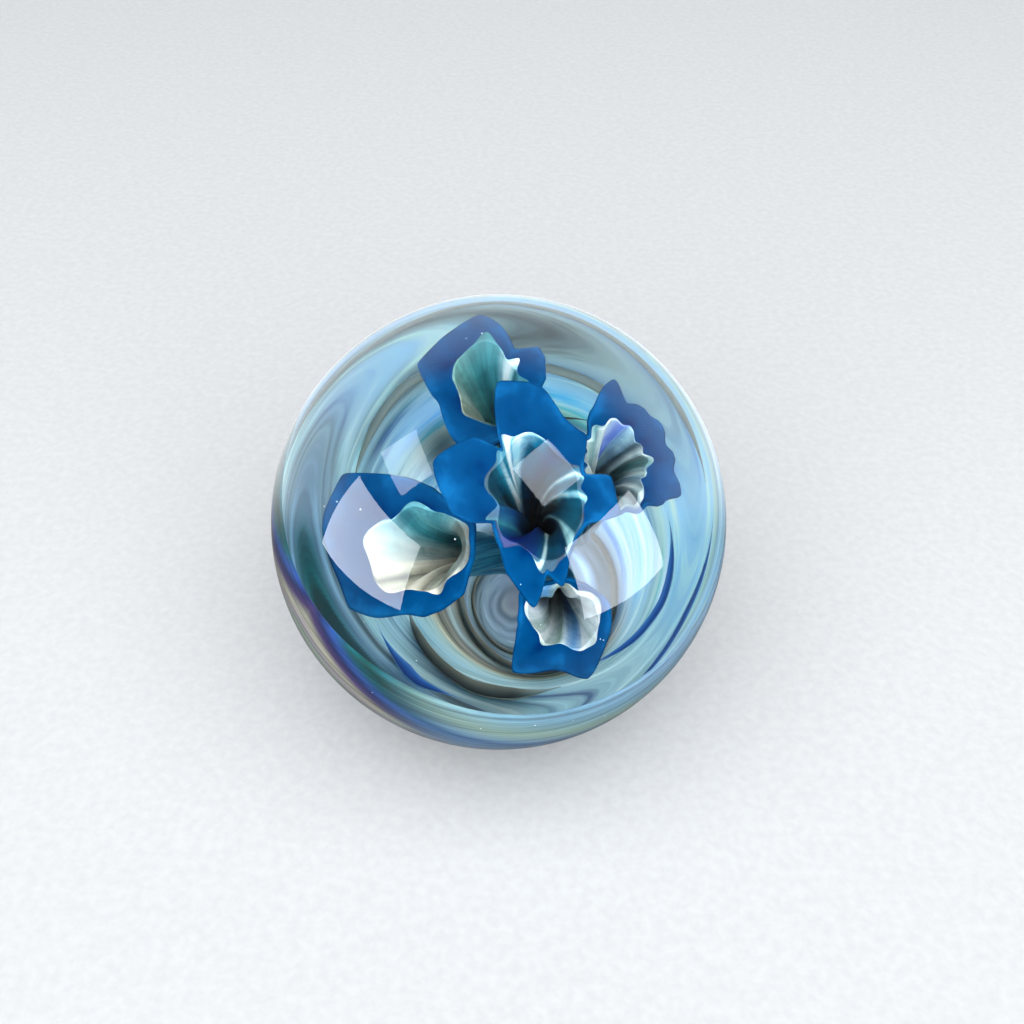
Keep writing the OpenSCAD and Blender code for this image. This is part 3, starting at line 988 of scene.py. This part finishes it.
@dataclass
class Trumpet:
    """One trumpet flower: a throat that rises from the foot and a frilled lip fused to its mouth.

    Attributes:
        name: which of the five it is.
        stem: distance of the foot from the bouquet's axis, in mm.
        away: distance of the mouth from that axis, in mm.
        side: azimuth of the mouth, in degrees.
        height: height of the mouth over the ball's centre, in mm.
        lean: lean of the mouth, in degrees.
        long: long half-axis of the mouth, in mm.
        short: short half-axis of the mouth, in mm.
        turn: azimuth of the long axis, in degrees.
        frill: corners of the lip as (azimuth, width, rise).
        glass: finish of the throat.
        folds: fine pleats round the throat, beside the flutes.
        fold_depth: depth of those pleats, in mm.
        tongues: where the throat's glass runs out over the lip, as (azimuth, share of the lip, half width).
        columns: points round it.
        edge: the lip's edge: azimuth in degrees, width in mm and rise in mm, one for each column.
    """

    name: str
    stem: float
    away: float
    side: float
    height: float
    lean: float
    long: float
    short: float
    turn: float
    frill: Frill
    glass: PearlGlass
    folds: int
    fold_depth: float
    tongues: Frill
    columns: int = 300
    edge: tuple[Array, Array, Array] = field(init=False, repr=False)

    def __post_init__(self) -> None:
        """Works out the lip's edge."""
        self.edge = self.softened()

    def softened(self) -> tuple[Array, Array, Array]:
        """Follows the frill right round, its corners softened as a flame leaves them.

        Returns:
            Azimuth in degrees, lip width in mm and rise in mm, one for each column.
        """
        # The sag is in mm for each degree between corners, and both softenings are in degrees
        steps, sag, least, soft_width, soft_rise = 1440, 0.3 / 45, 0.3, 1.3, 4.0
        fine = np.arange(steps) * 360 / steps
        corners = np.array(sorted(self.frill))
        at, wide, high = np.vstack([corners, corners[:1] + [360, 0, 0]]).T
        turn = (fine - at[0]) % 360 + at[0]
        k = np.clip(np.searchsorted(at, turn, side="right") - 1, 0, len(at) - 2)
        gap = at[k + 1] - at[k]
        # Between two corners the edge sags inwards
        width = np.interp(turn, at, wide) - sag * gap * sind(180 * (turn - at[k]) / gap)
        rise = np.interp(turn, at, high)
        azimuth = np.arange(self.columns) * 360 / self.columns
        found = [azimuth]
        for value, soft in ((np.maximum(width, least), soft_width), (rise, soft_rise)):
            bell = np.exp(-((np.minimum(fine, 360 - fine) / soft) ** 2) / 2)
            smooth = np.fft.irfft(np.fft.rfft(value) * np.fft.rfft(bell / bell.sum()), steps)
            found.append(np.interp(azimuth, fine, smooth, period=360))
        return found[0], found[1], found[2]

    def wound(self, azimuth: Array, s: Array | float) -> Array:
        """Azimuth, at the mouth, of the streak that passes through a place in the throat."""
        return azimuth - 360 * self.glass.wind * (1 - s)

    def throat_radius(self, azimuth: Array, s: float) -> Array:
        """Works out the throat's inner radius.

        Args:
            azimuth: degrees round it.
            s: place down the throat, 0 at the foot and 1 at the mouth.

        Returns:
            The radius at each azimuth, in mm.
        """
        spin = azimuth - self.turn
        oval = self.long * self.short / np.hypot(self.short * cosd(spin), self.long * sind(spin))
        flute = FLUTE_DEPTH * float(sind(FLUTE_RUN * s)) * sind(FLUTES * azimuth + 180 * s)
        pleat = self.fold_depth * float(sind(PLEAT_RUN * s)) * sind(self.folds * self.wound(azimuth, s))
        foot = STEM_D / 2 - SHEET_T
        return foot + (oval - foot) * (s + s**FLARE) / 2 - flute - np.maximum(pleat, -0.5 * self.fold_depth)

    def point(self, s: float, w: Array, depth: float, bulge: float) -> Array:
        """A ring of points on the sheet.

        Args:
            s: place down the throat, 0 at the foot and 1 at the mouth.
            w: share of the lip's width, for each column.
            depth: 0 on the sheet's face, 1 on its back.
            bulge: how far the edge is rounded outwards, in mm.

        Returns:
            The points, in mm in the flower's frame.
        """
        azimuth, width, rise = self.edge
        # The wall stands upright at the foot and lies flat at the mouth
        slope = 10 * s + 80 * s**FLARE
        thick = depth * SHEET_T
        wave = ripple(azimuth, (0.08, 7, 40), (0.05, 13, 0))
        level = (rise + wave) * w * w - thick * float(sind(slope))
        in_plane = self.throat_radius(azimuth, s) + width * w + thick * float(cosd(slope)) + bulge
        ring = turned(spun(azimuth, in_plane, level), 2, -self.side)
        leaned = turned(turned(ring, 1, self.lean * s), 2, self.side)
        hold = (self.height + FOOT_DEPTH) / 3
        aside, rising = hold * float(sind(self.lean)), hold * float(cosd(self.lean))
        out = bezier(self.stem, self.stem, self.away - aside, self.away, s)
        up = bezier(-FOOT_DEPTH, hold - FOOT_DEPTH, self.height - rising, self.height, s)
        return leaned + spun(self.side, out, up) + (*BOUQUET, 0)

    def strip(self, rings: list[tuple[float, Array, float, float]], run: list[float]) -> Strip:
        """Stacks rings into a strip.

        Args:
            rings: for each ring, what point takes.
            run: for each ring, its v coordinate.

        Returns:
            The strip; its values are the flow of the streaks and whether a point is on the sheet's back.
        """
        points = faced(np.stack([self.point(*ring) for ring in rings]))
        along = np.array(run)
        flow = spun(self.wound(self.edge[0], along[:, None]), 1.0, 0.35 * along[:, None])
        back = np.repeat(np.array([ring[2] for ring in rings], float)[:, None], self.columns, 1)
        return Strip(points, along, {"flow": flow, "back": back})

    def throat(self, meet: Array) -> None:
        """Builds the throat: its face, the mouth's cut edge, its back and its foot.

        Args:
            meet: share of the lip's width where the throat's glass ends.
        """
        none = np.zeros(self.columns)
        # Rows lie closer towards the mouth, where the throat flares
        down = 1 - (1 - np.linspace(0, 1, 44)) ** 1.7
        shares = np.arange(1, 6) / 5
        rings = [(s, none, 0, 0) for s in down] + [(1.0, meet * share, 0, 0) for share in shares]
        face = self.strip(rings, [*down, *(1 + 0.1 * shares)])
        mouth = self.strip([(1.0, meet, 0, 0), (1.0, none, 1, 0)], [1, 1])
        back = self.strip([(s, none, 1, 0) for s in down[::-1]], [*down[::-1]])
        foot = self.strip([(0.0, none, 1, 0), (0.0, none, 0, 0)], [0, 0])
        piece = strip_mesh(self.name + "_throat_pearl", [face, mouth, back, foot], self.glass.make())
        placed(piece, Slot.PEARL, self.name + "_throat")

    def lip(self, meet: Array, full: Array) -> None:
        """Builds the lip: out along its face, round the edge, in along its back and up to the throat.

        Args:
            meet: share of the lip's width where the throat's glass ends.
            full: share of it where the edge starts to round.
        """
        none = np.zeros(self.columns)
        rows = np.linspace(0, 1, 22)
        turn = np.linspace(0, 180, 9)[1:-1]
        rings = [(1.0, meet + (full - meet) * f, 0, 0) for f in rows]
        rings += [(1.0, full, (1 - cosd(a)) / 2, SHEET_T / 2 * sind(a)) for a in turn]
        rings += [(1.0, full * f, 1, 0) for f in rows[::-1]]
        sheet = self.strip(rings, [*rows, *(1.0 for _ in turn), *rows[::-1]])
        root = self.strip([(1.0, none, 1, 0), (1.0, meet, 0, 0)], [0, 0])
        piece = strip_mesh(self.name + "_lip_frill", [sheet, root], LipGlass().make())
        placed(piece, Slot.LIP, self.name + "_lip")

    def build(self) -> None:
        """Builds the throat and the lip, which meet in a line that wanders round the mouth."""
        azimuth, width, _ = self.edge
        full = np.maximum(1 - SHEET_T / 2 / width, 0.1)
        meet = 0.04 + ripple(azimuth, (0.03, 5, 20), (0.02, 11, 0))
        for middle, reach, soft in self.tongues:
            meet = meet + reach * np.exp(-((((azimuth - middle + 180) % 360 - 180) / soft) ** 2))
        meet = np.clip(meet, 0.02, 0.8 * full)
        self.throat(meet)
        self.lip(meet, full)


# The lips' corners as (azimuth in degrees, width in mm, rise in mm)
TOP_FRILL: Frill = (
    (12, 2.2, -0.4), (38, 2.7, -0.9), (48, 2.9, -1.2), (60, 1.2, 0.2), (101, 2.8, -0.8), (133, 2.5, 0.1),
    (158, 3.4, -1.2), (192, 2.1, 0.3), (215, 1.9, 0.5), (263, 3.1, -0.3), (304, 0.7, 0.4), (335, 1.8, 0.4),
)
RIGHT_FRILL: Frill = (
    (20, 2.4, 0.4), (54, 3.1, -0.8), (83, 2.2, -0.2), (91, 3.9, -1.4), (107, 2.6, -0.4), (130, 1.0, 0.3),
    (195, 0.6, 0.5), (245, 1.0, 0.4), (291, 0.6, 0.3), (315, 1.3, 0.5), (348, 3.6, -1.2),
)
LEFT_FRILL: Frill = (
    (23, 1.2, 0.4), (75, 1.9, 0.5), (107, 2.8, 0.3), (138, 5.8, -1.4), (163, 4.3, -0.2), (190, 3.3, 0.5),
    (218, 3.4, -0.6), (238, 2.6, 0.2), (275, 2.2, -0.3), (319, 2.0, 0.3), (352, 0.9, 0.5),
)
BOTTOM_FRILL: Frill = (
    (15, 1.3, 0.3), (60, 1.2, 0.4), (121, 0.8, 0.4), (154, 1.0, 0.3), (193, 1.1, 0.2), (232, 3.7, -1.0),
    (257, 2.5, 0.3), (295, 3.0, -0.7), (324, 1.6, 0.2),
)
CENTRE_FRILL: Frill = (
    (12, 3.2, -0.4), (22, 3.1, -0.6), (30, 0.9, 0.2), (40, 1.0, 0.3), (56, 3.0, -0.5), (76, 3.1, 0.1),
    (90, 4.5, -0.4), (112, 5.3, -0.9), (121, 2.6, -0.2), (129, 0.5, 0.3), (139, 3.3, -0.3), (163, 4.9, -0.9),
    (194, 4.0, -0.4), (204, 2.6, 0.0), (212, 0.6, 0.3), (236, 0.9, 0.3), (251, 2.6, -0.2), (273, 4.5, -0.8),
    (281, 1.1, 0.2), (290, 2.5, -0.5), (303, 0.6, 0.3), (338, 0.7, 0.3), (354, 3.4, -0.5),
)

TOP_GLASS = PearlGlass(
    "top throat",
    (
        (0.0, "#1f7f8c"), (0.06, "#135a68"), (0.11, "#8fc4d0"), (0.15, "#dff0f5"), (0.19, "#b5dbe6"),
        (0.24, "#3f8f9c"), (0.34, "#2a7378"), (0.44, "#5f918c"), (0.54, "#8fa397"), (0.62, "#a0ab94"),
        (0.7, "#66786f"), (0.78, "#2a5a5f"), (0.86, "#1f6f78"), (0.93, "#7fb9c4"), (1.0, "#1f7f8c"),
    ),
    "#16404c", 0.12, 0.22, 0.2,
)
RIGHT_GLASS = PearlGlass(
    "right throat",
    (
        (0.0, "#c2dcdc"), (0.05, "#35686c"), (0.1, "#b5c4c4"), (0.15, "#35566a"), (0.2, "#a6cfe0"),
        (0.25, "#6585d6"), (0.3, "#d9e6e2"), (0.36, "#23707c"), (0.42, "#c0d4cc"), (0.47, "#6a8088"),
        (0.52, "#cfe0dc"), (0.57, "#2c4c60"), (0.62, "#4a82a6"), (0.68, "#bccfd4"), (0.75, "#2a4a5c"),
        (0.8, "#a7c7c9"), (0.86, "#4f6d7c"), (0.92, "#cfe0e0"), (0.96, "#5a7f96"), (1.0, "#c2dcdc"),
    ),
    "#1f2c34", 0.3, 0.12, 0.2,
)
LEFT_GLASS = PearlGlass(
    "left throat",
    (
        (0.0, "#7c8078"), (0.05, "#555a53"), (0.1, "#79a5a9"), (0.17, "#3b8d99"), (0.25, "#5fb0bb"),
        (0.32, "#2f7f8c"), (0.4, "#8fc0c6"), (0.48, "#b9c8c0"), (0.55, "#d8d3bc"), (0.6, "#6f6c62"),
        (0.65, "#d6d0b8"), (0.72, "#ddd5bb"), (0.79, "#7b756a"), (0.84, "#cfcab4"), (0.9, "#5f625b"),
        (0.95, "#a9aca0"), (1.0, "#7c8078"),
    ),
    "#27363c", 0.15, 0.2, 0.2, 0.6,
)
BOTTOM_GLASS = PearlGlass(
    "bottom throat",
    (
        (0.0, "#c3ccd2"), (0.1, "#8fa2a0"), (0.2, "#d0d6d8"), (0.3, "#a3b5a0"), (0.37, "#4f94cf"),
        (0.41, "#86bfe6"), (0.45, "#cdd6dc"), (0.55, "#97a8a0"), (0.62, "#d6dadb"), (0.7, "#6f8a80"),
        (0.76, "#b0bfc6"), (0.82, "#5a94c9"), (0.88, "#d0d8dc"), (0.94, "#8b9a98"), (1.0, "#c3ccd2"),
    ),
    "#33474a", 0.2, 0.2, 0.12,
)
CENTRE_GLASS = PearlGlass(
    "centre throat",
    (
        (0.0, "#00445a"), (0.05, "#005a74"), (0.08, "#8fd4e6"), (0.1, "#e0f4fa"), (0.13, "#14708c"),
        (0.17, "#00425f"), (0.23, "#002f63"), (0.29, "#006a8c"), (0.33, "#b5e4f4"), (0.345, "#2f93bd"),
        (0.365, "#e8f8fc"), (0.39, "#0f6f86"), (0.45, "#00384c"), (0.5, "#064a5c"), (0.54, "#003a6f"),
        (0.58, "#3f8a96"), (0.6, "#06506a"), (0.67, "#001f66"), (0.74, "#002f6a"), (0.775, "#0a5470"),
        (0.79, "#d6f2f4"), (0.805, "#0c4f63"), (0.86, "#003458"), (0.9, "#003f50"), (0.925, "#a8d8dc"),
        (0.95, "#07485a"), (1.0, "#00445a"),
    ),
    "#0c3a48", 0.2, 0.35, 0.36, 0.52, 0.9,
)

TRUMPETS = (
    Trumpet(
        "top", 2.6, 9.8, 113, 4.5, 22, 3.9, 2.4, 109, TOP_FRILL, TOP_GLASS, 7, 0.1,
        ((5, 0.35, 9), (48, 0.3, 10), (95, 0.3, 8)),
    ),
    Trumpet(
        "right", 2.6, 7.5, 24, 4.5, 22, 3.6, 2.5, 93, RIGHT_FRILL, RIGHT_GLASS, 14, 0.3,
        ((130, 0.5, 14), (195, 0.7, 16), (291, 0.7, 14), (315, 0.4, 8), (20, 0.15, 10)),
    ),
    Trumpet(
        "left", 2.6, 9.9, 208, 4.5, 22, 4.3, 3.3, 12, LEFT_FRILL, LEFT_GLASS, 6, 0.22,
        ((352, 0.6, 18), (23, 0.4, 10), (90, 0.15, 14), (300, 0.25, 10)),
    ),
    Trumpet(
        "bottom", 2.6, 10.3, 290, 4.5, 22, 3.1, 2.4, 155, BOTTOM_FRILL, BOTTOM_GLASS, 7, 0.2,
        ((40, 0.6, 26), (121, 0.6, 18), (170, 0.3, 14), (324, 0.35, 12)),
    ),
    Trumpet(
        "centre", 0.0, 1.4, 318, 9.5, 8, 5.1, 3.6, 109, CENTRE_FRILL, CENTRE_GLASS, 6, 0.4,
        (
            (35, 0.8, 9), (127, 0.85, 8), (212, 0.8, 10), (236, 0.6, 9), (282, 0.7, 7), (320, 0.8, 16),
            (5, 0.12, 8),
        ),
    ),
)


@dataclass
class AirSeeds:
    """Gas seeds left just under the polished surface and over the backing.

    Attributes:
        count: how many.
        seed: starts the random draws.
        sizes: their radii, in mm.
        chances: how often each radius turns up.
        depth: nearest and furthest distance from the ball's centre, in mm.
        columns: points round each.
    """

    count: int = 60
    seed: int = 7
    sizes: tuple[float, ...] = (0.05, 0.08, 0.11)
    chances: tuple[float, ...] = (0.6, 0.35, 0.05)
    depth: tuple[float, float] = (25.0, 25.25)
    columns: int = 10

    def build(self) -> None:
        """Builds the seeds as small rounded drops at seeded places."""
        rng = np.random.default_rng(self.seed)
        turn = np.arange(self.columns) * 360 / self.columns
        rows = np.linspace(8, 172, 7)
        drop = spun(turn, sind(rows)[:, None], cosd(rows)[:, None])
        strips = []
        for _ in range(self.count):
            out = rng.normal(size=3)
            out /= np.linalg.norm(out)
            size = float(rng.choice(self.sizes, p=self.chances))
            middle = out * float(rng.uniform(*self.depth))
            strips.append(Strip((middle + drop * size) * MM, rows / 180, None, True, True))
        placed(strip_mesh("air_seeds", strips, AirSeed().make()), Slot.CLEAR)


@dataclass(frozen=True)
class SoftBox:
    """A soft box that faces the ball.

    Attributes:
        name: the light's name.
        place: its middle, in metres.
        size: its width and height, in metres.
        radiance: how bright its face is.
        mirrored: whether it only shows in the polish, or only lights the glass.
    """

    name: str
    place: tuple[float, float, float]
    size: tuple[float, float]
    radiance: float
    mirrored: bool = True

    def hang(self) -> None:
        """Hangs it."""
        light = bpy.data.lights.new(self.name, "AREA")
        light.shape = "RECTANGLE"
        light.size, light.size_y = self.size
        light.energy = self.radiance * math.pi * light.size * light.size_y
        light.color = (0.9, 0.95, 1.0) if self.mirrored else (1.0, 1.0, 1.0)
        lamp = bpy.data.objects.new(self.name, light)
        lamp.visible_glossy = self.mirrored
        lamp.visible_diffuse = not self.mirrored
        lamp.location = self.place
        lamp.rotation_mode = "QUATERNION"
        lamp.rotation_quaternion = Vector(self.place).to_track_quat("Z", "Y")
        bpy.context.scene.collection.objects.link(lamp)


SOFT_BOXES = (
    SoftBox("fill", (0.0, -0.5, 0.62), (1.7, 1.7), 5.6, False),
    SoftBox("window_left", (-0.54, -0.25, 0.1), (0.52, 0.38), 9.5),
    SoftBox("window_right", (0.5, -0.32, 0.1), (0.48, 0.42), 9.5),
    SoftBox("panel_left", (-0.6, -0.12, 0.66), (0.38, 0.28), 6.0),
    SoftBox("panel_right", (0.3, -0.27, 0.7), (0.32, 0.32), 6.5),
)


@dataclass
class Studio:
    """The floor, the soft light and the camera. None of it is part of the marble.

    Attributes:
        elevation: the camera's angle over the level, in degrees.
        distance: its distance, in radii of the ball.
        focal: its focal length, in widths of the picture.
        shift: its shift, in widths of the picture.
        flat: radii of the floor's flat rows, in metres.
        sweep: radius where the floor starts to rise, and of the curve that it rises in, in metres.
        columns: points round the floor.
    """

    elevation: float = 44.5
    distance: float = 5.36
    focal: float = 1200 / 1024
    shift: tuple[float, float] = (13.3 / 1024, 10 / 1024)
    flat: tuple[float, ...] = (0.02, 0.1, 0.3, 0.7)
    sweep: tuple[float, float] = (1.1, 0.8)
    columns: int = 96

    def floor(self) -> None:
        """Lays a plain pale floor that sweeps up all round."""
        start, curve = self.sweep
        lift = np.linspace(0, 110, 16)
        reach = np.append(self.flat, start + curve * sind(lift))[:, None]
        level = np.append(np.zeros(len(self.flat)), curve * (1 - cosd(lift)))[:, None] - BALL_R * MM
        ring = spun(np.arange(self.columns) * 360 / self.columns, reach, level)
        material, tree, shader = opened("matt board, pale grey")
        place = add(tree, "TexCoord", {}, {}, "Object")
        # Felted fibre, a millimetre across
        felt = add(tree, "TexNoise", {}, {"Vector": place, "Scale": per_mm(0.9), "Detail": 3.0})
        low = add(tree, "ValToRGB", {"stops": ((0.3, "#959799"), (0.7, "#9b9d9f"))}, (felt,))
        # Painted light: the board is paler where it rises than where it lies flat under the lamps
        up = add(tree, "SeparateXYZ", {}, (place,), "Z")
        share = add(tree, "MapRange", SMOOTH, (up, 0.0, 0.35))
        tone = add(tree, "Mix", BLEND, (share, low, linear("#e4e5e7")))
        join(shader, {"Base Color": tone, "Roughness": 0.9, "Specular IOR Level": 0.0})
        board = strip_mesh("floor", [Strip(ring, np.linspace(0, 1, len(ring)), None, True)], material)
        # The board isn't mirrored in the ball's underside, so the colours there stay deep
        board.visible_glossy = False

    def light(self) -> None:
        """Sets the sky, bright behind the ball and dim behind the camera, and hangs the soft boxes."""
        world = bpy.data.worlds.new("soft_room")
        bpy.context.scene.world = world
        world.use_nodes = True
        tree = world.node_tree
        way = add(tree, "TexCoord", {}, {}, "Generated")
        toward = add(tree, "VectorMath", DOT, (way, (0.0, -0.64, 0.77)))
        level = add(tree, "MapRange", SMOOTH, (toward, -0.05, 0.4, 1.25, 0.08))
        height = add(tree, "VectorMath", DOT, (way, (0.0, 0.65, 0.76)))
        above = add(tree, "MapRange", SMOOTH, (height, -0.12, 0.1, 0.12, 1.0))
        sky = add(tree, "Math", TIMES, (level, above))
        join(tree.nodes["Background"], {"Color": (0.96, 0.98, 1.0, 1), "Strength": sky})
        for box in SOFT_BOXES:
            box.hang()

    def camera(self) -> None:
        """Stands the camera over the ball's near side."""
        camera = bpy.data.cameras.new("camera")
        camera.sensor_width = 36
        camera.lens = camera.sensor_width * self.focal
        camera.clip_start = 0.001
        camera.shift_x, camera.shift_y = self.shift
        back = Vector((0, -float(cosd(self.elevation)), float(sind(self.elevation))))
        stand = bpy.data.objects.new("camera", camera)
        stand.location = back * self.distance * BALL_R * MM
        stand.rotation_mode = "QUATERNION"
        stand.rotation_quaternion = (-back).to_track_quat("-Z", "Y")
        bpy.context.scene.collection.objects.link(stand)
        bpy.context.scene.camera = stand

    def build(self) -> None:
        """Sets up the whole studio."""
        self.floor()
        self.light()
        self.camera()
        bpy.context.scene.view_settings.view_transform = "Standard"


def main() -> None:
    """Builds every piece in order."""
    logging.basicConfig(level=logging.INFO, format="%(message)s")
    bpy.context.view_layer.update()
    low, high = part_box("clear_body")
    radius = min(min(high), -max(low)) / MM
    pulled = " cane, pulled to a line"
    grey = ThreadGlass("grey-black" + pulled, "#8c8774", "#5f6257", "#39413e", "#252d2d", "#8fa39e")
    blue = ThreadGlass("cobalt" + pulled, "#6b9fca", "#3b78b8", "#1c5194", "#173f80", "#7fa9cc")
    ClearBall(radius).build()
    SwirlBacking().build()
    PulledThreads("dark_pulls", "dark_threads", Slot.GREY, DARK_PATHS, grey).build()
    PulledThreads("blue_pulls", "blue_thread", Slot.BLUE, BLUE_PATHS, blue).build()
    for trumpet in TRUMPETS:
        trumpet.build()
    AirSeeds().build()
    Studio().build()


if __name__ == "__main__":
    main()
